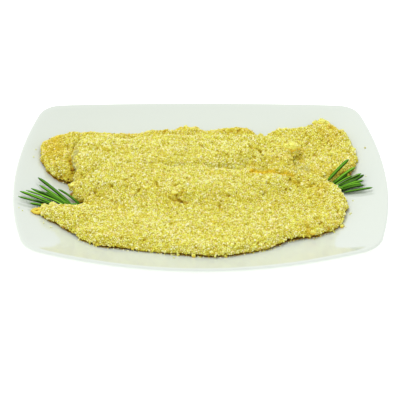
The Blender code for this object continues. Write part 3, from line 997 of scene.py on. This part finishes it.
# Clumps of egg and crumbs, in millimetres: centre (x, y) and height above the ground under it,
# half sizes, share of egg.
EGG_CLUMPS = (
    ((75.5, 42, -0.4), (6.0, 4.6, 3.8), 0.42), ((80.5, 43, 0.0), (3.2, 3.0, 2.6), 0.55),
    ((104.5, 87.5, 0.7), (4.2, 3.6, 3.2), 0.35), ((108, 87, 0.4), (3.2, 2.8, 2.4), 0.4),
    ((99.5, 87.5, 0.5), (2.6, 2.4, 2.0), 0.4), ((40, 87, 0.8), (1.9, 1.7, 1.5), 0.4),
    ((52, 70, 0.6), (1.6, 1.4, 1.3), 0.4), ((-12, 89, 0.6), (1.9, 1.6, 1.3), 0.3),
    ((-24, 86, 0.4), (1.6, 1.4, 1.1), 0.3), ((-103.5, -10.5, 0.6), (2.2, 1.8, 1.3), 0.35),
    ((-105.5, -9, 0.5), (1.6, 1.3, 1.0), 0.4), ((-99, -15.5, -6.0), (4.2, 3.2, 3.6), 0.2),
    ((-96.5, -17.5, -4.5), (3.4, 3.0, 3.2), 0.2), ((-123, -41, 0.6), (3.2, 2.6, 2.2), 0.4),
    ((-117, -38.5, 0.6), (2.8, 2.0, 1.8), 0.3), ((-6, -96, 1.2), (1.7, 1.6, 1.5), 0.45),
    ((8, -97, 0.8), (1.3, 1.0, 0.8), 0.3), ((-18, -94, 0.8), (1.1, 1.0, 1.0), 0.3),
    ((18, -97, 0.7), (1.0, 0.9, 0.9), 0.3), ((110, -60, 1.0), (1.4, 1.3, 1.1), 0.5),
    ((-54, -22, 0.2), (2.0, 1.6, 1.3), 0.25), ((128, 44, -0.6), (1.8, 1.8, 1.4), 0.3),
    ((130, 30, -1.0), (1.8, 1.6, 1.2), 0.3), ((87, -69, 1.4), (2.3, 1.9, 1.7), 0.5),
    ((124, 20, 0.4), (1.5, 1.4, 1.2), 0.5), ((-132, 52, -0.6), (1.8, 1.6, 1.3), 0.3),
    ((-21, -24, 0.0), (2.6, 2.0, 1.2), 0.2),
)
# Crumbs around the foot of each coat, which is looked for up to a height.
CRUMBS_AT_A_FOOT = 110
FOOT_TOP = 14 * MM
CURL_STEPS = 5
# Crumbs on the clumps: least and greatest width against a common crumb.
CLUMP_CRUMB_WIDTHS = (0.5, 0.9)
CLUMP_CRUMB_SEED = 61
STRAY_SEED = 23
# Film of painted shade under a coat: cell, width of its waves, thickness where it shows and under the food.
FILM_CELL = 2 * MM
FILM_WAVE = 7 * MM
FILM_THICK = 0.3 * MM
FILM_THIN = 0.04 * MM
# A curl of dripped egg with crumbs, which lies off the tip of the front schnitzel.
EGG_CURL = ((-124.5, -42.5, 2.6), (-127, -42.6, 2.4), (-130, -43.6, 1.6), (-132.4, -45.4, 1.2),
            (-131.4, -47.6, 1.2), (-128.6, -48, 1.3), (-126.6, -46.2, 1.6), (-127.2, -44, 2.2))
# Single crumbs on the porcelain: x, y and width in millimetres.
STRAY_CRUMBS = (
    (138, 46, 1.4), (135, 7, 1.2), (122, -24, 1.0), (118, -43, 1.3), (119, -42, 1.0), (-137, 44, 1.0),
    (-138, 33, 1.3), (-123, -59, 1.2), (-140, -49, 1.0), (-117, -63, 1.3), (-112, 6, 1.6), (-110, 8, 1.3),
    (-106, -12, 1.6), (-104, -13, 1.8), (-107, -10, 1.3), (-21, -99, 1.3), (-95, -76, 1.3),
    (112, -59, 1.3), (113, -61, 0.9), (88, -72, 1.0), (-143, -46, 0.9), (104, -66, 1.0),
)


def add_blob(bm, centre, half, egg, wet, seed):
    """Lumpy ball whose lower part is soaked with egg and darkened with painted shade."""
    made = bmesh.ops.create_icosphere(bm, subdivisions=4 if half.x > 2 * MM else 3, radius=1.0)["verts"]
    for vert in made:
        out = vert.co.normalized()
        rough = 0.3 * noise.noise(out * 1.3 + seed) + 0.2 * noise.noise(out * 3.4 + seed)
        fine = 0.3 * MM * noise.noise(out * half.x / (0.9 * MM) + seed)
        # More egg colour towards the bottom and the front: egg, with painted shade on the lower side.
        vert[egg] = min(1.0, max(0.1, wet - 0.6 * out.z - 0.2 * out.y + 0.5 * rough))
        form = Vector((out.x * half.x, out.y * half.y, out.z * half.z))
        vert.co = centre + form * (1 + rough) + out * fine


def add_curl(bm, trees, egg):
    """Lumpy roll along the dripped curl: a ring of the section is carried from point to point."""
    start = len(bm.faces)
    path = []
    for x, y, height in EGG_CURL:
        path.append(Vector((x * MM, y * MM, top_of(trees[:1], x * MM, y * MM) + height * MM)))
    ring = bmesh.ops.create_circle(bm, cap_ends=True, segments=12, radius=1.0)["verts"]
    shape = [vert.co.copy() for vert in ring]
    edges = edges_between(ring)
    steps = CURL_STEPS * (len(path) - 1)
    for step in range(steps + 1):
        place = step / CURL_STEPS
        index = min(len(path) - 2, int(place))
        centre = path[index].lerp(path[index + 1], place - index)
        ahead = (path[index + 1] - path[index]).normalized()
        side = ahead.cross(Vector((0, 0, 1))).normalized()
        taper = min(1.0, 0.45 + min(step, steps - step) / 4)
        thick = MM * (1.45 + 0.6 * noise.noise(centre / (2.5 * MM))) * taper
        for vert, flat in zip(ring, shape):
            vert.co = centre + thick * (side * flat.x + Vector((0, 0, 0.85)) * flat.y)
            # More egg colour on the lower side: egg, with painted shade.
            vert[egg] = 0.75 - 0.35 * flat.y
        if step < steps:
            made = bmesh.ops.extrude_edge_only(bm, edges=edges)["geom"]
            grown = [item for item in made if isinstance(item, bmesh.types.BMVert)]
            order = {vert.co.to_tuple(8): vert for vert in grown}
            ring = [order[vert.co.to_tuple(8)] for vert in ring]
            edges = edges_between(ring)
    bmesh.ops.contextual_create(bm, geom=edges)
    settle_faces(bm, start)


def painted_shade_film(coat, ground, title):
    """Thin dark film on the porcelain, a little wider than a schnitzel's foot: painted shade where the food
    meets the plate.
    """
    film = link(bpy.data.objects.new(f"egg_film_{title}", coat.data.copy()))
    add_modifier(film, "coarse", "REMESH", mode="VOXEL", voxel_size=FILM_CELL)
    apply_modifiers(film)
    spots = [(vert.co.copy(), vert.normal.copy()) for vert in film.data.vertices]
    for vert, (place, normal) in zip(film.data.vertices, spots):
        spread = (0.3 + 0.9 * noise.noise(place / FILM_WAVE)) * MM
        place += Vector((normal.x, normal.y, 0.0)) * spread
        thick = FILM_THICK if normal.z > -0.2 else FILM_THIN
        vert.co = (place.x, place.y, top_of([ground], place.x, place.y) + thick)
    film.data.update()
    return film


def film_material():
    """Dark brown film, a little glossy: painted shade at the foot of a schnitzel."""
    material, tree, shader = new_material("painted_shade_film")
    colour = colour_ramp(tree, cloudy(tree, 300.0), FILM_TONES)
    feed(tree, shader, {"Base Color": colour, "Roughness": 0.35})
    return material


class PLATTER_OT_clumps(bpy.types.Operator):
    """Make the smooth clumps of egg and crumbs, the brown film of painted shade at each schnitzel's foot and
    the crumbs on the porcelain
    """

    bl_idname = "platter.clumps"
    bl_label = "Clumps and loose crumbs"

    def execute(self, context):
        shape = context.scene.crumb_shape
        group = bpy.data.node_groups["crumb_tones"]
        names = ["platter_porcelain"] + [name.replace("schnitzel", "coat") for name in SCHNITZELS]
        trees = [tree_of(bpy.data.objects[name].data) for name in names]
        bm = bmesh.new()
        egg = bm.verts.layers.float.new("egg")
        for number, (place, half, wet) in enumerate(EGG_CLUMPS):
            x, y, lift = (value * MM for value in place)
            centre = Vector((x, y, top_of(trees, x, y) + lift))
            add_blob(bm, centre, Vector(half) * MM, egg, wet, Vector((number * 2.3, 1.7, 4.1)))
        add_curl(bm, trees, egg)
        bmesh.ops.recalc_face_normals(bm, faces=bm.faces)
        for face in bm.faces:
            face.smooth = True
        foot_shade_finish = film_material()
        for name in names[1:]:
            title = name.replace("coat_", "")
            film = painted_shade_film(bpy.data.objects[name], trees[0], title)
            set_material(film, foot_shade_finish)
            carry(film)
        clumps = mesh_object("egg_clumps", bm)
        wetness = read_attribute(clumps.data, "egg")
        upward = np.array([vert.normal.z for vert in clumps.data.vertices])
        store_attribute(clumps.data, "exposed", np.clip(0.9 - 0.9 * wetness, 0.0, 1.0) * (upward > -0.6))
        small, large = (shape.grain * share for share in CLUMP_CRUMB_WIDTHS)
        tree = scatter_tree("fine_clumps", bpy.data.collections["fine_crumb"], "exposed", shape.spacing,
                            FINE_DENSITY, small, large, CLUMP_CRUMB_SEED)
        cover = scatter("fine_crumbs_clumps", clumps.data, tree)
        store_attribute(cover.data, "egg", 0.5 * read_attribute(cover.data, "egg"))
        set_material(cover, crumb_material("clump_crumb", group, shape, 0.0))
        carry(cover)
        set_material(clumps, clump_material(shape))
        carry(clumps)

        chooser = random.Random(STRAY_SEED)
        crumbs = [(x * MM, y * MM, width * MM) for x, y, width in STRAY_CRUMBS]
        for name in names[1:]:
            rim = [vert.co for vert in bpy.data.objects[name].data.vertices
                   if -0.6 < vert.normal.z < -0.1 and vert.co.z < FOOT_TOP]
            for foot in chooser.sample(rim, min(len(rim), CRUMBS_AT_A_FOOT)):
                out = Vector((foot.x, foot.y * 1.3, 0)).normalized() * chooser.uniform(0.2, 1.6) * MM
                crumbs.append((foot.x + out.x, foot.y + out.y, chooser.uniform(0.5, 1.3) * MM))
        bm = bmesh.new()
        tone = bm.verts.layers.float.new("tone")
        for x, y, width in crumbs:
            ground = top_of(trees[:1], x, y)
            angle = chooser.uniform(0, 6)
            turn = Matrix.Rotation(angle, 4, Vector((chooser.random(), chooser.random(), 0.5)))
            place = Matrix.Translation((x, y, ground + width * 0.36)) @ turn
            made = bmesh.ops.create_icosphere(bm, subdivisions=1, radius=width / 2, matrix=place)["verts"]
            own = chooser.random()
            for vert in made:
                vert[tone] = own
                vert.co += Vector([chooser.uniform(-0.12, 0.12) * width for _ in range(3)])
        stray = mesh_object("stray_crumbs", bm)
        set_material(stray, crumb_material("stray_crumb", group, shape, 0.2))
        carry(stray)
        return {"FINISHED"}


# ---- rosemary

NEEDLE_LAYERS = ("across", "under", "tint")
NEEDLE_SIDES = 12
NEEDLE_CUTS = 13
NEEDLE_SEED = 11
# Least and most that a needle bends along x, y and z, in millimetres.
NEEDLE_BENDS = ((-0.4, 0.4), (-0.4, 0.4), (0.3, 1.4))
# Gap to what lies below: of a needle's root, least and most in millimetres, of its tip, of the stem.
ROOT_GAPS = (1.2, 2.8)
TIP_GAP = 1.2 * MM
STEM_GAP = 1.3 * MM
STEM_WIDTH = 2.6 * MM
STEM_BEND = 0.3 * MM
# What a needle's colour is multiplied by along its tint, from dull to fresh.
NEEDLE_AGES = ((0.0, (0.42, 0.45, 0.4)), (0.45, (0.85, 0.85, 0.8)), (1.0, (1.5, 1.3, 1.6)))


def needle_profile(share):
    """Width of a needle along its length: narrow foot, even blade, blunt tip."""
    foot = min(1.0, 0.4 + share / 0.2)
    tip = math.sqrt(max(0.05, 1.0 - max(0.0, (share - 0.8) / 0.2) ** 2))
    return foot * tip


def straight_blade():
    """Unit rod along Z with rings enough to bend, as a mesh to copy for every needle."""
    bm = bmesh.new()
    bmesh.ops.create_cone(bm, cap_ends=True, segments=NEEDLE_SIDES, radius1=0.5, radius2=0.5, depth=1.0)
    sides = [edge for edge in bm.edges if abs(edge.verts[0].co.z - edge.verts[1].co.z) > 0.5]
    bmesh.ops.subdivide_edges(bm, edges=sides, cuts=NEEDLE_CUTS)
    mesh = bpy.data.meshes.new("straight_blade")
    bm.to_mesh(mesh)
    bm.free()
    return mesh


def add_needle(bm, blade, root, tip, width, bend, flip):
    """One grooved leaf blade along a slightly bent line, with its zones and tint kept on it."""
    start = len(bm.verts)
    bm.from_mesh(blade)
    bm.verts.ensure_lookup_table()
    across_layer, under_layer, tint_layer = (bm.verts.layers.float[name] for name in NEEDLE_LAYERS)
    span = tip - root
    across = span.cross(Vector((0, 0, 1))).normalized()
    tint = noise.noise(tip * 300) * 1.2 + 0.5
    for vert in bm.verts[start:]:
        share = vert.co.z + 0.5
        ahead = (span + bend * 4 * (1 - 2 * share)).normalized()
        up = across.cross(ahead).normalized()
        centre = root + span * share + bend * 4 * share * (1 - share)
        turn = math.atan2(vert.co.y, vert.co.x)
        side = math.cos(turn)
        lift = math.sin(turn)
        # The upper side is grooved along the middle, and the margins roll under.
        height = lift * 0.36 - 0.16 * math.exp(-(side / 0.25) ** 2) * (1 if lift > 0 else -0.3)
        vert[across_layer] = abs(side)
        vert[under_layer] = 1.0 if (lift < -0.1) != bool(flip) else 0.0
        vert[tint_layer] = tint
        vert.co = centre + width * needle_profile(share) * (across * side * 0.5 + up * height * 0.8)


def clear_of(trees, place, gap):
    """Lift a place above whatever lies under it."""
    floor = place.z
    for tree in trees:
        hit = tree.ray_cast(Vector((place.x, place.y, 0.2)), Vector((0, 0, -1)))[0]
        if hit:
            floor = max(floor, hit.z + gap)
    return Vector((place.x, place.y, floor))


def leaf_material(shape):
    """Waxy needle: green above, with a painted highlight along the middle and painted shade at the margins,
    which roll under; pale and felted below.
    """
    material, tree, shader = new_material("rosemary_needle")
    across, under, tint = (vertex_value(tree, name) for name in NEEDLE_LAYERS)
    leaf = Vector(shape.upper)
    # Painted highlight along the middle of the upper side and painted shade towards the margins, above and
    # below.
    midrib_highlight = leaf * 2.2 + Vector((0.06, 0.05, 0.03))
    blade = colour_ramp(tree, across, (
        (0.0, midrib_highlight), (0.2, leaf * 1.25), (0.55, leaf), (0.8, leaf * 0.45), (1.0, leaf * 0.16)))
    belly = colour_ramp(tree, across, (
        (0.0, leaf * 1.3), (0.2, shape.under), (0.6, shape.under), (0.85, leaf * 0.6)))
    age = colour_ramp(tree, tint, NEEDLE_AGES)
    feed(tree, shader, {
        "Base Color": mixed(tree, 1.0, mixed(tree, under, blade, belly), age, "MULTIPLY"),
        "Roughness": 0.5, "Specular IOR Level": 0.12,
    })
    return material


class PLATTER_OT_rosemary(bpy.types.Operator):
    """Make the two sprigs of rosemary"""

    bl_idname = "platter.rosemary"
    bl_label = "Rosemary"

    def execute(self, context):
        shape = context.scene.sprig_shape
        material = leaf_material(shape)
        grounds = ("platter_porcelain", "coat_back_left", "coat_back_right")
        trees = [tree_of(bpy.data.objects[ground].data) for ground in grounds]
        chooser = random.Random(NEEDLE_SEED)
        blade = straight_blade()
        for name, sprig in SPRIGS.items():
            bm = bmesh.new()
            for label in NEEDLE_LAYERS:
                bm.verts.layers.float.new(label)
            foot, head = (clear_of(trees, Vector(end) * MM, STEM_GAP) for end in sprig["stem"])
            for *places, width, flip in sprig["needles"]:
                x, y, *tip = (value * MM for value in places)
                root = clear_of(trees, Vector((x, y, 0)), chooser.uniform(*ROOT_GAPS) * MM)
                tip = clear_of(trees, Vector(tip), TIP_GAP)
                bend = Vector([chooser.uniform(*ends) for ends in NEEDLE_BENDS]) * MM
                add_needle(bm, blade, root, tip, width * MM * shape.fullness, bend, flip)
            add_needle(bm, blade, foot, head, STEM_WIDTH, Vector((0, 0, STEM_BEND)), 0)
            bmesh.ops.recalc_face_normals(bm, faces=bm.faces)
            for face in bm.faces:
                face.smooth = True
            piece = mesh_object(name.replace("rosemary", "sprig"), bm)
            set_material(piece, material)
            carry(piece, name)
        return {"FINISHED"}


# ---- stage

def floor_material():
    """Plain white floor."""
    material, tree, shader = new_material("floor_white")
    feed(tree, shader, {
        "Base Color": (0.95, 0.95, 0.95, 1.0), "Roughness": 1.0, "Specular IOR Level": 0.0,
        "Emission Color": (1.0, 1.0, 1.0, 1.0), "Emission Strength": 0.6,
    })
    return material


def add_sun(name, direction, strength, angle):
    """Soft distant light from a direction."""
    light = bpy.data.lights.new(name, "SUN")
    light.energy = strength
    light.angle = math.radians(angle)
    lamp = link(bpy.data.objects.new(name, light))
    lamp.rotation_euler = Vector(direction).to_track_quat("Z", "Y").to_euler()
    return lamp


# The aim lies left of the food's middle and below it, in millimetres along the picture.
FOOD_MIDDLE = Vector((0.0, 0.0, 0.01416))
AIM_LEFT = 0.4
AIM_DOWN = 12.3
SUN_FROM = (-0.4, 0.35, 1.0)
SUN_STRENGTH = 1.1
SUN_ANGLE = 30
AIR_STRENGTH = 0.93


def add_camera(stage):
    """Camera at the stage's distance and angles, aimed a little under the food's middle."""
    level = math.cos(stage.elevation)
    back = Vector((-level * math.sin(stage.turn), -level * math.cos(stage.turn), math.sin(stage.elevation)))
    place = FOOD_MIDDLE + back * stage.distance
    right = Vector((math.cos(stage.turn), -math.sin(stage.turn), 0.0))
    up = back.cross(right)
    tilted_right = right * math.cos(stage.roll) + up * math.sin(stage.roll)
    tilted_up = up * math.cos(stage.roll) - right * math.sin(stage.roll)
    aim = FOOD_MIDDLE - tilted_right * AIM_LEFT * MM - tilted_up * AIM_DOWN * MM
    away = (place - aim).normalized()
    side = tilted_up.cross(away).normalized()
    top = away.cross(side)
    camera_data = bpy.data.cameras.new("camera")
    camera_data.lens = stage.lens
    camera_data.sensor_width = 36.0
    camera_data.clip_end = 50.0
    camera = link(bpy.data.objects.new("camera", camera_data))
    basis = Matrix((side, top, away)).transposed()
    camera.matrix_world = Matrix.Translation(place) @ basis.to_4x4()
    bpy.context.scene.camera = camera


class PLATTER_OT_stage(bpy.types.Operator):
    """Make the floor, the lights and the camera"""

    bl_idname = "platter.stage"
    bl_label = "Stage"

    def execute(self, context):
        stage = context.scene.stage_shape
        bm = bmesh.new()
        bmesh.ops.create_grid(bm, x_segments=1, y_segments=1, size=stage.floor_size / 2)
        floor = mesh_object("floor", bm)
        set_material(floor, floor_material())
        world = bpy.data.worlds.new("studio")
        world.use_nodes = True
        air = world.node_tree.nodes["Background"]
        feed(world.node_tree, air, {"Color": (1.0, 1.0, 1.0, 1.0), "Strength": AIR_STRENGTH})
        context.scene.world = world
        lamp = add_sun("top_light", SUN_FROM, SUN_STRENGTH, SUN_ANGLE)
        lamp.visible_glossy = False
        add_camera(stage)
        context.scene.view_settings.view_transform = "Standard"
        context.scene.view_settings.look = "None"
        return {"FINISHED"}


class VIEW3D_PT_platter(bpy.types.Panel):
    """Sidebar panel with one button for each group of pieces"""

    bl_idname = "VIEW3D_PT_platter"
    bl_label = "Schnitzel Platter"
    bl_space_type = "VIEW_3D"
    bl_region_type = "UI"
    bl_category = "Platter"

    def draw(self, context):
        layout = self.layout
        for operator in OPERATORS:
            layout.operator(operator.bl_idname)
        for name in SETTINGS:
            settings = getattr(context.scene, name)
            box = layout.box()
            for key in settings.__annotations__:
                box.prop(settings, key)


SETTINGS = {
    "platter_shape": PlatterShape, "crumb_shape": CrumbShape,
    "sprig_shape": SprigShape, "stage_shape": StageShape,
}
OPERATORS = (
    PLATTER_OT_plate, PLATTER_OT_schnitzels, PLATTER_OT_clumps, PLATTER_OT_rosemary, PLATTER_OT_stage,
)


def register():
    for cls in (*SETTINGS.values(), *OPERATORS, VIEW3D_PT_platter):
        bpy.utils.register_class(cls)
    for name, cls in SETTINGS.items():
        setattr(bpy.types.Scene, name, bpy.props.PointerProperty(type=cls))


def unregister():
    for name in SETTINGS:
        delattr(bpy.types.Scene, name)
    for cls in reversed((*SETTINGS.values(), *OPERATORS, VIEW3D_PT_platter)):
        bpy.utils.unregister_class(cls)


def main():
    register()
    bpy.ops.platter.plate()
    bpy.ops.platter.schnitzels()
    bpy.ops.platter.clumps()
    bpy.ops.platter.rosemary()
    bpy.ops.platter.stage()


if __name__ == "__main__":
    main()
